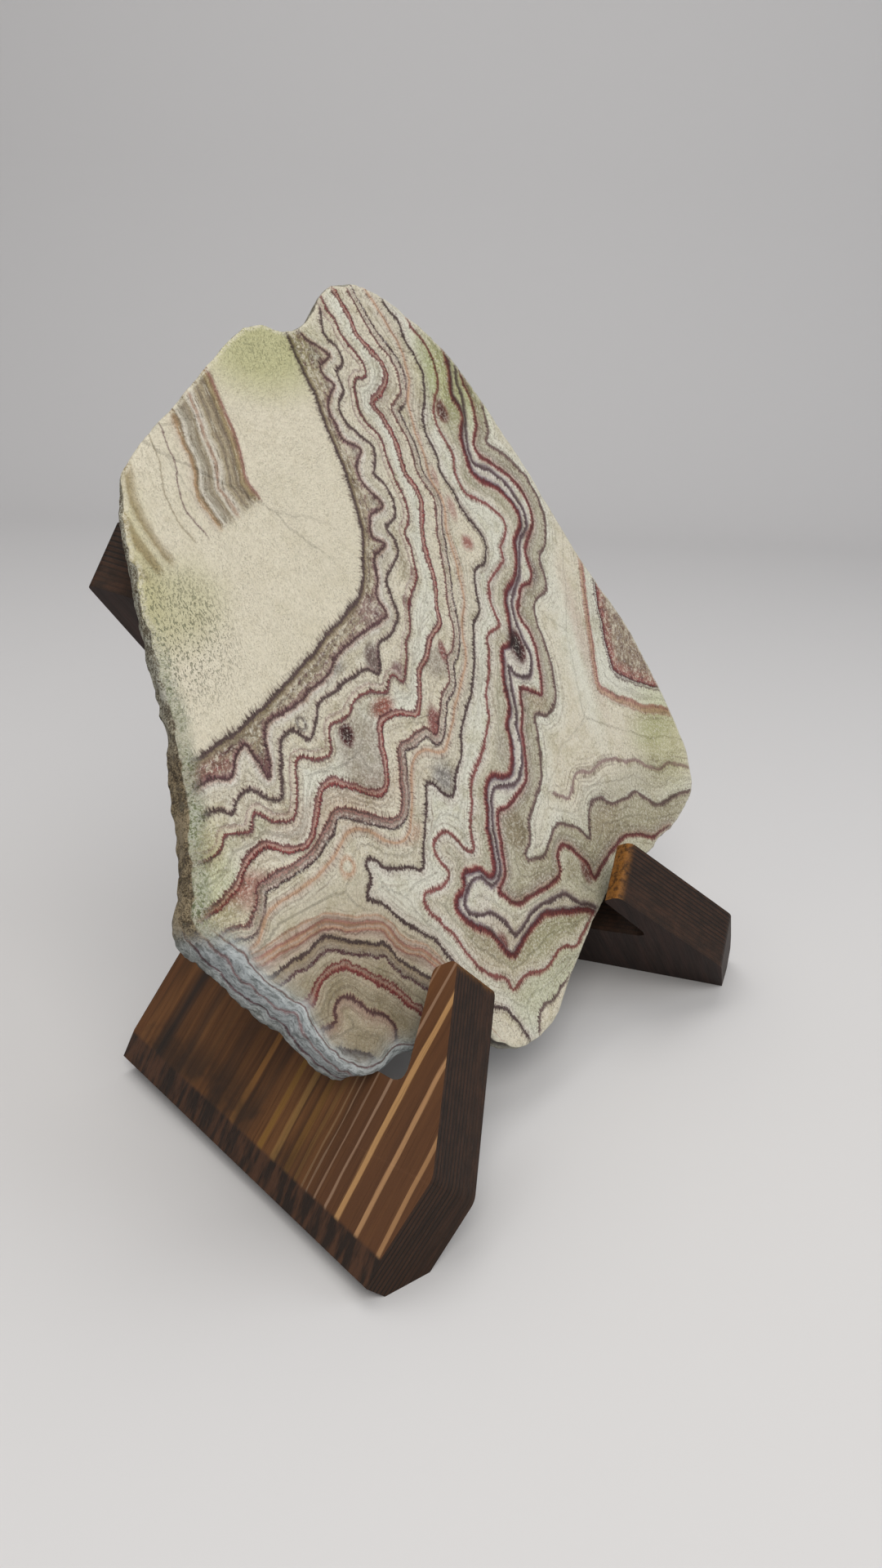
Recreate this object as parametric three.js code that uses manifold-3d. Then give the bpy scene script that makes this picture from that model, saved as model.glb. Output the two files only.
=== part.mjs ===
// Banded calcite slab leaning on a cross-lapped wooden display stand.
// Millimetres, +Z up. The stand's feet rest on z = 0 and the slab's polished face looks to -Y.
// Three pieces: the slab, the right board and the left board. The boards are near mirror images
// that cross like an X, each with half of a cross-lap slot.

import * as THREE from 'three';
import { mergeVertices } from 'three/addons/utils/BufferGeometryUtils.js';
import Module from 'manifold-3d';

const wasm = await Module();
wasm.setup();

// ---------------------------------------------------------------- driving dimensions

const fitGap = 0.3;                               // clearance wherever two pieces meet

// stand: where a board's lower face meets the table at its front corner, and how it leans
const boardThickness = 19;
const footHalfSpread = 87.8;
const footFrontY = -55.9;
const boardRise = THREE.MathUtils.degToRad(46.6);   // board face above the table
const boardSplay = THREE.MathUtils.degToRad(16);    // feet run closer together at the back

// board profile: along = backwards from the front edge, up = up the board's face
const footDepth = 9.3;                            // square-cut end below the table corner
const bendUp = 19.6;
const hornTip = { outer: [31.2, 66.6], inner: [36.4, 61.2] };
const notch = [22.9, 35.6];
const seatRoot = [62, 32.5];
const leftSeatDrop = 3;                           // the left board's notch and seat sit lower
const armFrontTop = [133.5, 204.3];
const armBackTop = [149, 210];
const baseLength = 121.4;
const bevelLength = 8;                            // worn bevel along the foot's upper edge
const bevelDepth = 1.6;
const cornerRadius = { bend: 6, horn: 2.5, notch: 4, seat: 6, armFront: 2.5, armBack: 1.5 };

// slab
const slabThickness = 8;
const slabLean = THREE.MathUtils.degToRad(24.5);
const slabSeatUp = 0.7;                           // height of the outline's zero above the face plane's
const rimChamfer = 0.8;
const rimSteps = 176;
const chamferSetback = 0.1;                       // the rim's edges lie this far inside the outline
const middleSetback = 0.2;
const rimRipple = 0.45;                           // how far the broken rim waves in and out
// the ripple's waves: how many go round the rim, how they shift with depth, and their share
const rippleWaves = [{ count: 26, shift: 4.1, share: 0.6 }, { count: 11, shift: -2.3, share: 0.4 }];

// slab outline, clockwise from the top: across, up, and how far the back's outline stands
// out past the front's (negative where the broken edge is undercut)
const slabOutline = [
  [20, 225, 0], [34, 220.5, 0], [46, 213, 0], [57, 204, 0], [67, 190.5, 0], [77, 174, 0],
  [85, 160, 0], [92, 145, 0], [99, 131, 0], [107, 118.5, 0], [116, 104.5, 0], [122, 90, 0],
  [127, 76, 0], [131, 61, 0], [132, 48, 0], [128, 38.5, 0], [116, 33, -1], [101, 29.5, -2],
  [85, 27.5, -3], [70, 24.2, -3.6], [58, 25, -3.4], [49, 23, -2], [38, 18.5, -1], [26, 12.5, -1],
  [16, 7.5, 0], [7, 2, 0], [-4, 0, 0], [-15, 1, 0], [-24, 6, -1], [-32, 14.5, -2],
  [-42, 18.5, -2.6], [-50, 19.8, -3.2], [-57, 19.7, -3.5], [-64, 20.9, -4.3], [-71, 20.8, -3.8],
  [-79.5, 22.8, 0.8], [-86, 30.5, 1.8],
  [-89.5, 38.5, 3.4], [-94.5, 47, 3.8], [-99.5, 55, 4], [-105.5, 64.5, 3.8], [-112, 72.5, 2.6],
  [-112.5, 77, 1], [-109, 86, -1.6], [-106, 95, -2], [-102.5, 106, -1.8], [-99.5, 119, -3],
  [-98, 135, -3.6], [-96.5, 150, -4.6], [-95, 163, -6], [-92, 174, -6.6], [-86, 181, -6.6],
  [-75, 188, -6], [-61, 196, -5.6], [-46, 205, -5], [-35, 211, -3.4], [-26, 213, -1.6],
  [-17, 211, -1], [-9, 212.5, -2], [-3, 216, -3.4], [3, 221, -3.6], [11, 224.4, -2],
];

// ---------------------------------------------------------------- directions of the stand

// right board: along runs back and inwards, up climbs over the middle, face is the upper side
const along = new THREE.Vector3(-Math.sin(boardSplay), Math.cos(boardSplay), 0);
const up = new THREE.Vector3(
  -Math.cos(boardRise) * Math.cos(boardSplay),
  -Math.cos(boardRise) * Math.sin(boardSplay),
  Math.sin(boardRise),
);
const face = new THREE.Vector3().crossVectors(along, up);
const footCorner = new THREE.Vector3(footHalfSpread, footFrontY, 0);

// the other board's face, and the line on which the two mid-planes cross, seen from this board
const otherFace = new THREE.Vector3(-face.x, face.y, face.z);
const crossing = new THREE.Vector3().crossVectors(otherFace, face).normalize();
const midPlane = face.dot(footCorner) + boardThickness / 2;
const crossingPoint = new THREE.Vector3(0, 0, midPlane / face.z);

function inBoard(vector) {
  return new THREE.Vector3(vector.dot(along), vector.dot(up), vector.dot(face));
}

function inStand(alongAt, upAt, faceAt) {
  return footCorner.clone()
    .addScaledVector(along, alongAt)
    .addScaledVector(up, upAt)
    .addScaledVector(face, faceAt);
}

// ---------------------------------------------------------------- joins and cuts

function toSolid(geometry) {
  const bare = geometry.clone();
  bare.deleteAttribute('normal');
  bare.deleteAttribute('uv');
  const merged = mergeVertices(bare, 1e-4);
  return new wasm.Manifold(new wasm.Mesh({
    numProp: 3,
    vertProperties: new Float32Array(merged.attributes.position.array),
    triVerts: new Uint32Array(merged.index.array),
  }));
}

function toGeometry(solid) {
  const mesh = solid.getMesh();
  const geometry = new THREE.BufferGeometry();
  geometry.setAttribute('position', new THREE.BufferAttribute(mesh.vertProperties, 3));
  geometry.setIndex(new THREE.BufferAttribute(mesh.triVerts, 1));
  geometry.computeVertexNormals();
  return geometry;
}

// ---------------------------------------------------------------- board

// a closed outline whose corners are rounded: each corner is [along, up, radius]
function roundedShape(corners) {
  const shape = new THREE.Shape();
  corners.forEach(([x, y, radius], i) => {
    const here = new THREE.Vector2(x, y);
    const before = new THREE.Vector2(...corners.at(i - 1));
    const after = new THREE.Vector2(...corners[(i + 1) % corners.length]);
    const toBefore = before.sub(here).normalize();
    const toAfter = after.sub(here).normalize();
    const halfAngle = Math.acos(THREE.MathUtils.clamp(toBefore.dot(toAfter), -1, 1)) / 2;
    const reach = radius / Math.tan(halfAngle);
    const start = here.clone().addScaledVector(toBefore, reach);
    const end = here.clone().addScaledVector(toAfter, reach);
    if (i === 0) {
      shape.moveTo(start.x, start.y);
    } else {
      shape.lineTo(start.x, start.y);
    }
    if (radius > 0) {
      shape.quadraticCurveTo(here.x, here.y, end.x, end.y);
    }
  });
  shape.closePath();
  return shape;
}

function boardBlank(seatDrop) {
  const shape = roundedShape([
    [0, -footDepth, 0],
    [baseLength, -footDepth, 0],
    [...armBackTop, cornerRadius.armBack],
    [...armFrontTop, cornerRadius.armFront],
    [seatRoot[0], seatRoot[1] - seatDrop, cornerRadius.seat],
    [notch[0], notch[1] - seatDrop, cornerRadius.notch],
    [...hornTip.inner, cornerRadius.horn],
    [...hornTip.outer, cornerRadius.horn],
    [0, bendUp, cornerRadius.bend],
  ]);
  const settings = { depth: boardThickness, bevelEnabled: false, curveSegments: 6 };
  return new THREE.ExtrudeGeometry(shape, settings);
}

// everything below the table plane, which gives the foot its flat land
function belowTable() {
  const size = 80;
  const block = new THREE.BoxGeometry(4 * size, size, size);
  block.translate(0, -size / 2, 0);
  block.rotateX(Math.PI / 2 - boardRise);
  return block;
}

// the thin worn bevel along the foot's upper edge
function footBevel() {
  const size = 60;
  const block = new THREE.BoxGeometry(6 * size, size, size);
  block.translate(0, 0, size / 2);
  block.rotateX(Math.atan2(bevelDepth, bevelLength));
  block.translate(0, bevelLength - footDepth, boardThickness);
  return block;
}

// the room that the other board takes between two stations along the crossing line
function slotBlock(from, to) {
  const length = to - from;
  const block = new THREE.BoxGeometry(length, boardThickness + 2 * fitGap, 6 * boardThickness);
  block.translate((from + to) / 2, 0, 0);
  const x = inBoard(crossing);
  const y = inBoard(otherFace);
  const z = new THREE.Vector3().crossVectors(x, y);
  block.applyMatrix4(new THREE.Matrix4().makeBasis(x, y, z));
  const origin = inBoard(crossingPoint.clone().sub(footCorner));
  block.translate(origin.x, origin.y, origin.z);
  return block;
}

// where the crossing line leaves the board through the edge from one corner to another
function stationOnEdge([x1, y1], [x2, y2]) {
  const start = inBoard(crossingPoint.clone().sub(footCorner));
  const step = inBoard(crossing);
  const edge = new THREE.Vector2(x2 - x1, y2 - y1);
  const gap = new THREE.Vector2(x1 - start.x, y1 - start.y);
  return gap.cross(edge) / new THREE.Vector2(step.x, step.y).cross(edge);
}

const stationFront = stationOnEdge(seatRoot, armFrontTop);
const stationBack = stationOnEdge([baseLength, -footDepth], armBackTop);
const stationMiddle = (stationFront + stationBack) / 2;
const runOut = 25;                                // how far a slot's cutter passes the edge

function boardGeometry(slotFrom, slotTo, seatDrop) {
  const solid = toSolid(boardBlank(seatDrop))
    .subtract(toSolid(belowTable()))
    .subtract(toSolid(footBevel()))
    .subtract(toSolid(slotBlock(slotFrom, slotTo)));
  return toGeometry(solid);
}

// the same board on the other side of the stand: its face side is turned over
function turnedOver(geometry) {
  const turned = geometry.clone();
  turned.applyMatrix4(new THREE.Matrix4().makeScale(1, 1, -1));
  const index = turned.index;
  for (let i = 0; i < index.count; i += 3) {
    const second = index.getX(i + 1);
    index.setX(i + 1, index.getX(i + 2));
    index.setX(i + 2, second);
  }
  turned.computeVertexNormals();
  return turned;
}

const stainedWood = new THREE.MeshStandardMaterial({ color: 0x4a2f1f, roughness: 0.62, metalness: 0 });

function rightBoard() {
  const geometry = boardGeometry(stationFront - runOut, stationMiddle + fitGap / 2, 0);
  const mesh = new THREE.Mesh(geometry, stainedWood.clone());
  mesh.name = 'stand_board_right';
  mesh.position.copy(footCorner);
  mesh.quaternion.setFromRotationMatrix(new THREE.Matrix4().makeBasis(along, up, face));
  return mesh;
}

function leftBoard() {
  const slotStart = stationMiddle - fitGap / 2;
  const geometry = turnedOver(boardGeometry(slotStart, stationBack + runOut, leftSeatDrop));
  const mesh = new THREE.Mesh(geometry, stainedWood.clone());
  mesh.name = 'stand_board_left';
  const mirrored = (v) => new THREE.Vector3(-v.x, v.y, v.z);
  mesh.position.copy(mirrored(footCorner));
  const basis = new THREE.Matrix4().makeBasis(mirrored(along), mirrored(up), mirrored(face).negate());
  mesh.quaternion.setFromRotationMatrix(basis);
  return mesh;
}

// ---------------------------------------------------------------- slab

// the outline as a smooth closed curve; its third coordinate carries the back's offset
function outlineSamples() {
  const points = slabOutline.map(([x, y, back]) => new THREE.Vector3(x, y, back));
  const curve = new THREE.CatmullRomCurve3(points, true, 'centripetal');
  const samples = curve.getPoints(rimSteps).slice(0, rimSteps);
  return samples.map((point, i) => {
    const before = samples.at(i - 1);
    const after = samples[(i + 1) % rimSteps];
    const outward = new THREE.Vector2(before.y - after.y, after.x - before.x).normalize();
    return { x: point.x, y: point.y, back: point.z, outward };
  });
}

// one ring of the rim: depth 0 is the front face, 1 the back, grow pushes it outwards
function rimRing(samples, depth, grow, ripple) {
  return samples.map(({ x, y, back, outward }, i) => {
    const turn = 2 * Math.PI * i / rimSteps;
    const waves = rippleWaves.map((w) => w.share * Math.sin(w.count * turn + w.shift * depth));
    const reach = back * depth + grow + ripple * (waves[0] + waves[1]);
    return [x + outward.x * reach, y + outward.y * reach, -depth * slabThickness];
  });
}

function slabGeometry() {
  const samples = outlineSamples();
  const chamferDepth = rimChamfer / slabThickness;
  const rings = [
    rimRing(samples, 0, -rimChamfer, 0),
    rimRing(samples, chamferDepth, -chamferSetback, 0),
    rimRing(samples, 0.5, -middleSetback, rimRipple),
    rimRing(samples, 1 - chamferDepth, -chamferSetback, 0),
    rimRing(samples, 1, -rimChamfer, 0),
  ];
  const index = [];
  for (let r = 0; r < rings.length - 1; r += 1) {
    for (let i = 0; i < rimSteps; i += 1) {
      const a = r * rimSteps + i;
      const b = r * rimSteps + (i + 1) % rimSteps;
      index.push(a, b, b + rimSteps, a, b + rimSteps, a + rimSteps);
    }
  }
  const capOf = (ring) => THREE.ShapeUtils.triangulateShape(
    ring.map(([x, y]) => new THREE.Vector2(x, y)), [],
  );
  const last = (rings.length - 1) * rimSteps;
  for (const [a, b, c] of capOf(rings[0])) {
    index.push(a, b, c);
  }
  for (const [a, b, c] of capOf(rings.at(-1))) {
    index.push(last + a, last + c, last + b);
  }
  const geometry = new THREE.BufferGeometry();
  geometry.setAttribute('position', new THREE.Float32BufferAttribute(rings.flat(2), 3));
  geometry.setIndex(index);
  geometry.computeVertexNormals();
  return geometry;
}

function slab() {
  const stone = new THREE.MeshStandardMaterial({ color: 0xcfc7ab, roughness: 0.72, metalness: 0 });
  const mesh = new THREE.Mesh(slabGeometry(), stone);
  mesh.name = 'calcite_slab';
  const normal = new THREE.Vector3(0, -Math.cos(slabLean), Math.sin(slabLean));
  const upTheFace = new THREE.Vector3(0, Math.sin(slabLean), Math.cos(slabLean));
  const armTip = inStand(...armFrontTop, boardThickness);
  const faceOffset = armTip.dot(normal) + fitGap + slabThickness;
  mesh.position.copy(normal).multiplyScalar(faceOffset);
  mesh.position.addScaledVector(upTheFace, slabSeatUp);
  mesh.rotation.x = Math.PI / 2 - slabLean;
  return mesh;
}

// ---------------------------------------------------------------- assembly

// the pieces are placed about the stand's middle, then moved so that the origin is the
// centre of the whole object's bounding box, on the table plane
const assembly = new THREE.Group();
assembly.add(slab(), rightBoard(), leftBoard());
const bounds = new THREE.Box3().setFromObject(assembly, true);
const middle = bounds.getCenter(new THREE.Vector3());
assembly.position.set(-middle.x, -middle.y, -bounds.min.z);

export default assembly;
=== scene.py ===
"""A banded calcite slab leaning on a cross-lapped wooden stand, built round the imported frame.

The stone is rebuilt as a fine mesh inside its CAD solid. Its growth layers are drawn from a few
guide curves: every vertex carries its signed distance to each curve, and the stone's material
paints the layers one after another from those distances. The two boards keep their CAD meshes,
with eased edges and a stained softwood material.
"""

import math

import bpy
import numpy as np
from mathutils import Matrix, Vector, noise
from mathutils.geometry import delaunay_2d_cdt


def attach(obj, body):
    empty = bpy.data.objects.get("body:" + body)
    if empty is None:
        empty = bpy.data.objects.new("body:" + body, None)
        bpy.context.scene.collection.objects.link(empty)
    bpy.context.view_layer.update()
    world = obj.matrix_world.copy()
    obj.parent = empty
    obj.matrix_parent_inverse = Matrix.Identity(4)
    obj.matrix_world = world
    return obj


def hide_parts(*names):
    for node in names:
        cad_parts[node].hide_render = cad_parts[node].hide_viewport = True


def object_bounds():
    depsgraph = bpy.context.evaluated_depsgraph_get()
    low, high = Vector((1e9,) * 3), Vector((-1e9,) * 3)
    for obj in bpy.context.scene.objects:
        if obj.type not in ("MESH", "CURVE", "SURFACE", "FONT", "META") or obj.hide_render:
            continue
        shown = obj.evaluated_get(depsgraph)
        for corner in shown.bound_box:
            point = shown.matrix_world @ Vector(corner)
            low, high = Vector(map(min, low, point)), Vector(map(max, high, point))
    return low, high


MM = 0.001
CHUNK = 8000                 # places measured at a time, which keeps the arrays small

# the stone, in millimetres
SLAB_LEAN = math.radians(24.5)
SLAB_LEFT_END = -114.24      # the CAD slab's left end in the guide curves' coordinates
SLAB_LOW_END = -0.04         # and its lowest point
SLAB_THICKNESS = 8.0
FLAT_INSET = 0.7             # how far the CAD slab's flat faces stop short of its rim
RIM_POINTS = 880
RIM_DEPTHS = (0.0, 0.05, 0.12, 0.25, 0.4, 0.55, 0.7, 0.84, 0.94, 1.0)
FRONT_SPACING = 0.86
BACK_SPACING = 1.9

# the boards
BOARD_RISE = math.radians(46.6)
BOARD_SPLAY = math.radians(16.0)
BOARD_HEIGHT = 210.0         # the arm's top, measured up the board
GRAIN_LEAN = math.radians(7.2)
EASING = 0.6                 # how far a board's edges are cut back
EASED_ANGLE = math.radians(32)         # edges sharper than this are eased
JOINING_DISTANCE = 0.01

# the camera's view, from the middle of the object's foot
VIEW_AZIMUTH = math.radians(-56.2)     # 0 looks along +Y
VIEW_ELEVATION = math.radians(20.7)
VIEW_ROLL = math.radians(2.2)
VIEW_DISTANCE = 0.352
VIEW_AIM = Vector((-0.0341, -0.0150, 0.0966))
VIEW_LENS = 30.0
SENSOR_WIDTH = 36.0

# lights: place, diameter, power, colour
LIGHT_AIM = (0, 0, 0.1)
LIGHTS = {
    "key": ((-0.75, -0.65, 1.0), 0.9, 11, (1.0, 0.97, 0.92)),
    "fill": ((0.5, -1.0, 0.5), 0.8, 3.4, (0.9, 0.95, 1.0)),
    "top": ((0.1, 0.3, 1.3), 1.0, 5.5, (1.0, 0.98, 0.95)),
}
WORLD_STRENGTH = 0.36


# ---------------------------------------------------------------- growth layers

# Each guide is the course of one growth line over the slab's face, from its upper or left end,
# as (across, up). It starts and ends outside the stone. Layers lie on its left-hand side as it
# is walked, in the order of this list.
GUIDES = {
    "edge": [
        (-18, 222), (-16, 208), (-13.5, 196), (-12.5, 184), (-10.8, 174), (-10.5, 164), (-11.5, 155),
        (-14, 149), (-18, 141), (-24, 136), (-31, 133), (-40, 129.5), (-50, 124.5), (-60, 121),
        (-70, 117), (-80, 114), (-90, 112), (-112, 108),
    ],
    "lace": [
        (-13, 222), (-10, 210), (-5, 206), (-1, 203.5), (-6, 201), (-6, 197.5), (-4, 194.5), (-9, 190),
        (-8, 184), (-7, 180), (-1, 177), (-4, 173), (-5, 169), (-3, 165), (1, 160), (-5, 158.5),
        (-8.5, 152.5), (-3, 149.5), (-9, 147), (-11, 143), (-12, 139), (-14, 135.5), (-12, 131),
        (-16, 129.5), (-22, 128.5), (-30, 126.5), (-38, 124), (-43, 120), (-50, 118), (-60, 115),
        (-69, 114), (-72.5, 110), (-76, 101), (-79, 110), (-84, 108), (-88, 104), (-95, 105), (-114, 101),
    ],
    "dark_1": [
        (3, 224), (1, 215), (0, 210), (4, 205), (3, 201), (-0.5, 198.5), (0, 194), (-4, 189), (-3, 184),
        (2, 180), (5, 176.5), (3, 171), (2, 169), (5, 165.5), (6.5, 160), (5, 156.5), (0, 154),
        (1.5, 150), (0, 146), (-5, 142.5), (-8, 139.5), (-8, 133), (-9, 128.5), (-14, 125), (-20, 123),
        (-23.5, 116), (-28, 118), (-35, 117), (-40, 116), (-50, 113.5), (-54, 109.5), (-58, 105.5),
        (-63, 109.5), (-68, 107.5), (-71, 101), (-73.5, 95), (-78, 95.5), (-83, 99.5), (-88, 98.5),
        (-91, 96), (-97, 98), (-116, 92),
    ],
    "maroon_1": [
        (3, 228), (4, 217.5), (6.5, 213), (7, 209.5), (11, 204), (13, 199.5), (11, 197), (6.5, 196),
        (4, 188.5), (6, 184), (10, 179), (10, 172), (11, 165), (12, 160), (11, 155), (7, 152), (7, 146),
        (6, 138), (0, 133.5), (-3, 128.5), (-5, 124), (-8.5, 121), (-11, 116), (-15, 111), (-19, 114),
        (-23, 110.5), (-30, 112), (-37, 111), (-42, 108), (-49, 107), (-52, 101), (-58, 100), (-65, 102),
        (-68, 95), (-72, 89.5), (-78, 89.5), (-84, 94), (-88, 90), (-95, 92), (-100, 88.5), (-118, 89),
    ],
    "maroon_2": [
        (6, 232), (9.5, 223), (13, 215), (14, 210), (18, 205), (22, 200), (21, 196.5), (16, 192),
        (11.5, 189.5), (14, 184), (16.5, 178), (16, 170), (17, 166), (19.5, 160.5), (18, 156), (15, 150),
        (13.5, 143), (13, 136), (11, 129), (9.5, 124), (3, 121), (-1, 116), (-6, 113), (-9, 107.5),
        (-14, 102.5), (-19, 103.5), (-29, 104), (-32, 98), (-34.5, 88), (-38, 85.5), (-43, 87), (-50, 91),
        (-56, 94), (-61, 92), (-66, 85.5), (-71, 82), (-78, 83), (-85, 86), (-92, 84), (-97, 80),
        (-104, 78), (-122, 73),
    ],
    "pair": [
        (13, 232), (16, 224), (20, 213), (23, 207), (27, 202), (28, 198), (26, 192), (20, 188), (20, 184),
        (22.5, 178), (22, 170), (23, 166), (26, 160.5), (25, 156), (22.5, 150), (21, 145), (20, 138),
        (17, 130), (15.5, 121), (12, 115.5), (8.5, 113.5), (5.5, 107), (0, 103.5), (-4, 99), (-8, 94),
        (-12.5, 97.5), (-20, 96), (-25, 95.5), (-28, 90), (-30.5, 83), (-34, 78.5), (-38, 78.5),
        (-45, 81.5), (-52, 85), (-58, 87), (-63, 83.5), (-70, 80), (-78, 78.5), (-90, 78.5),
        (-92.5, 74.5), (-97, 70.5), (-105, 71), (-122, 68),
    ],
    "orange": [
        (23, 232), (26, 221), (31, 211), (33.5, 205), (32, 195), (28, 187.5), (28, 175), (28, 165),
        (30, 158), (27, 148), (27, 138), (25, 128), (20.5, 122), (17, 112), (11, 105.5), (4, 99),
        (-2, 93), (-8, 89), (-18, 91.5), (-24, 87), (-29, 77), (-35, 71.5), (-42, 73), (-50, 79),
        (-57, 79.5), (-67, 74), (-78, 72), (-90, 71), (-96, 66), (-106, 64), (-124, 60),
    ],
    "thread": [
        (30, 230), (33, 217), (36, 214), (37, 207), (40, 200), (39, 193), (32.8, 182), (34, 172),
        (33.5, 168), (36, 162), (38, 157), (41, 151), (45, 144), (42, 138), (35, 136), (33, 131),
        (31, 124), (26, 121), (24, 117), (20, 110), (14, 102), (5, 94), (0, 86), (-5, 82), (-9, 77),
        (-13, 77.5), (-19, 82.5), (-24, 74), (-30, 66), (-32, 62), (-37, 64), (-45, 66), (-50, 71),
        (-53, 70), (-53, 66.5), (-56, 62), (-52, 59), (-46, 52), (-40, 46), (-36, 42), (-33, 36),
        (-28, 26), (-22, 17.5), (-17, 14), (-12, 6), (-8, -8),
    ],
    "maroon_3": [
        (38, 228), (42, 213), (46, 207), (48, 200), (46, 193), (41, 187), (40, 180), (43, 172), (41, 166),
        (43, 160), (48, 157), (54, 154), (59, 149.5), (58, 145), (53, 141), (52, 136.5), (46, 134),
        (40, 130), (38, 125), (39.5, 119), (37, 117), (31, 116), (29, 110), (25, 104), (21, 99), (19, 93),
        (16, 90), (10, 84), (2, 79), (-2, 72), (-6, 66), (-8, 60), (-11, 60.5), (-15, 66), (-19, 68),
        (-24, 66), (-24, 62), (-22, 57.5), (-27, 55), (-35, 55.5), (-35, 51), (-30, 44), (-26, 36),
        (-22, 29), (-18, 25), (-12.5, 22), (-10, 17.5), (-3, 19), (7, 17), (14, 19), (20, 19), (26, 17),
        (33, 19.5), (44, 22), (60, 20),
    ],
    "set_1": [
        (58, 216), (56, 203), (54, 195), (52.5, 190), (55, 184), (50.5, 178), (50, 172), (50.5, 166),
        (55, 162.5), (62, 159), (67, 154), (69, 149.5), (67, 145), (62, 142), (59, 135.5), (55, 130),
        (47.5, 126), (45, 119), (43, 112), (37, 110.5), (34, 106), (32, 100), (31, 93), (27, 89),
        (26, 83), (22, 75.5), (18, 74), (12, 76), (8, 75), (4, 68), (1, 62), (0, 55.5), (-2, 50.5),
        (-5.5, 50.5), (-9, 54), (-15.5, 55), (-17.5, 51), (-22.5, 49.5), (-23, 45.5), (-18, 40),
        (-12.5, 36), (-9, 30), (-5, 26.5), (2, 29), (12, 31), (20, 30), (30, 27), (36, 25), (43, 20),
        (52, 10),
    ],
    "set_2": [
        (63, 212), (59, 200), (57, 194), (57, 186), (53, 178), (52, 170.5), (54, 167.5), (60, 165),
        (66, 161), (70, 155.5), (72, 149.5), (70, 144.5), (65, 142), (61, 136), (57, 130), (50.5, 125),
        (48, 119), (49, 112), (50, 107), (49, 102.5), (45.5, 100), (40, 102), (36.5, 105), (35, 100),
        (34, 93), (31, 87), (30, 80), (26, 74), (20, 71), (12, 73), (8.5, 71), (5, 65), (3, 60), (2, 54),
        (0, 49.5), (-5, 47.5), (-9, 51.5), (-14.5, 52), (-19, 48.5), (-19.5, 45), (-14, 42), (-8.5, 40),
        (-4.5, 36), (-2.5, 31.5), (3, 32), (10, 34), (20, 33.5), (28, 33), (34, 28), (42, 23), (56, 14),
    ],
    "set_3": [
        (66, 208), (61, 197), (62, 186), (61, 180), (56.5, 175), (57, 170), (62, 167.5), (70, 163),
        (75, 157), (77, 151), (74, 145), (69, 141), (66, 137), (66, 131), (63, 127.5), (58, 127),
        (51.5, 121), (52, 117), (55, 111), (54, 104), (52, 97), (49.5, 93), (45, 95), (40.5, 97),
        (38.5, 95), (37, 90), (33, 85), (31, 78), (27, 70.5), (20, 67.5), (14, 66), (9, 65.5), (6, 60),
        (4, 52), (2, 48), (-2.5, 45), (0, 42), (4, 39), (15, 38.5), (28, 38.5), (31, 44), (35, 46.5),
        (39, 45), (42.5, 41), (46, 37), (47, 32), (56, 35), (70, 38), (80, 36), (90, 32), (104, 31),
        (120, 22),
    ],
    "outer": [
        (80, 204), (69, 190), (67, 180), (63.5, 174), (71, 170), (78, 163.5), (82, 158), (84, 150),
        (83, 145), (79, 138.5), (73, 134.5), (73, 128), (70, 123.5), (62, 121), (60, 115), (61, 105),
        (60, 98), (57, 90), (50, 86), (43, 87.5), (41, 82), (38, 74), (34, 68), (28, 63.5), (23, 59),
        (19, 53), (15.5, 50.5), (17, 48), (24, 47), (28, 49), (34, 53), (39, 53), (47, 48.5), (51, 44),
        (54, 49), (57, 53), (61, 54.5), (66, 53), (70, 50), (80, 49), (88, 49), (92, 45.5), (99, 41),
        (105, 40), (117, 40), (142, 34),
    ],
    "brown": [
        (40, 62), (46, 59), (50, 61), (56, 64.5), (65, 63), (75, 64), (85, 61), (93, 59), (100, 55),
        (107, 52), (115, 52), (120, 50), (144, 42),
    ],
    "rose": [
        (104, 142), (96, 124), (91, 110), (87, 97), (85, 88), (92, 82.5), (100, 78.5), (110, 74),
        (120, 71), (144, 63),
    ],
    "patch": [
        (108, 132), (101, 118), (99, 108), (97, 98), (97, 91), (104, 86), (112, 82), (121, 79), (140, 74),
    ],
}

# the lower left lobe has arches of its own, listed from left to right; layers lie below each
LOBE_GUIDES = {
    "lobe_orange": [
        (-122, 68), (-104, 63), (-90, 62.5), (-80, 63), (-72, 62), (-64, 58.5), (-55, 55), (-49, 47),
        (-42, 42), (-36, 34), (-28, 18),
    ],
    "lobe_dark": [
        (-120, 62), (-104, 60), (-97, 57), (-90, 57.5), (-84, 58), (-76, 59), (-70, 56), (-61, 51.5),
        (-55, 49), (-52, 43), (-47, 38.5), (-43, 34), (-36, 20),
    ],
    "lobe_red": [
        (-126, 68), (-112, 60), (-103, 52), (-97, 47.5), (-91, 46), (-86, 47), (-82, 50), (-77, 51),
        (-72, 50), (-67, 46), (-62, 42), (-58, 38), (-54.5, 33), (-50, 28), (-44, 14),
    ],
    "lobe_inner": [
        (-114, 62), (-100, 47), (-94, 41.5), (-88, 39), (-82, 38.5), (-80, 42), (-77, 43.5), (-73, 42),
        (-70, 37), (-65, 34), (-62, 29), (-63, 23), (-62, 10),
    ],
    "lobe_corner": [
        (-108, 50), (-94, 36), (-86, 33), (-80, 31), (-74, 27), (-71, 22), (-68, 10),
    ],
    "tip": [
        (-8, -8), (-5.5, 0), (-3.5, 5.5), (1, 8), (6, 7.5), (14, 9), (34, 12),
    ],
}

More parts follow.
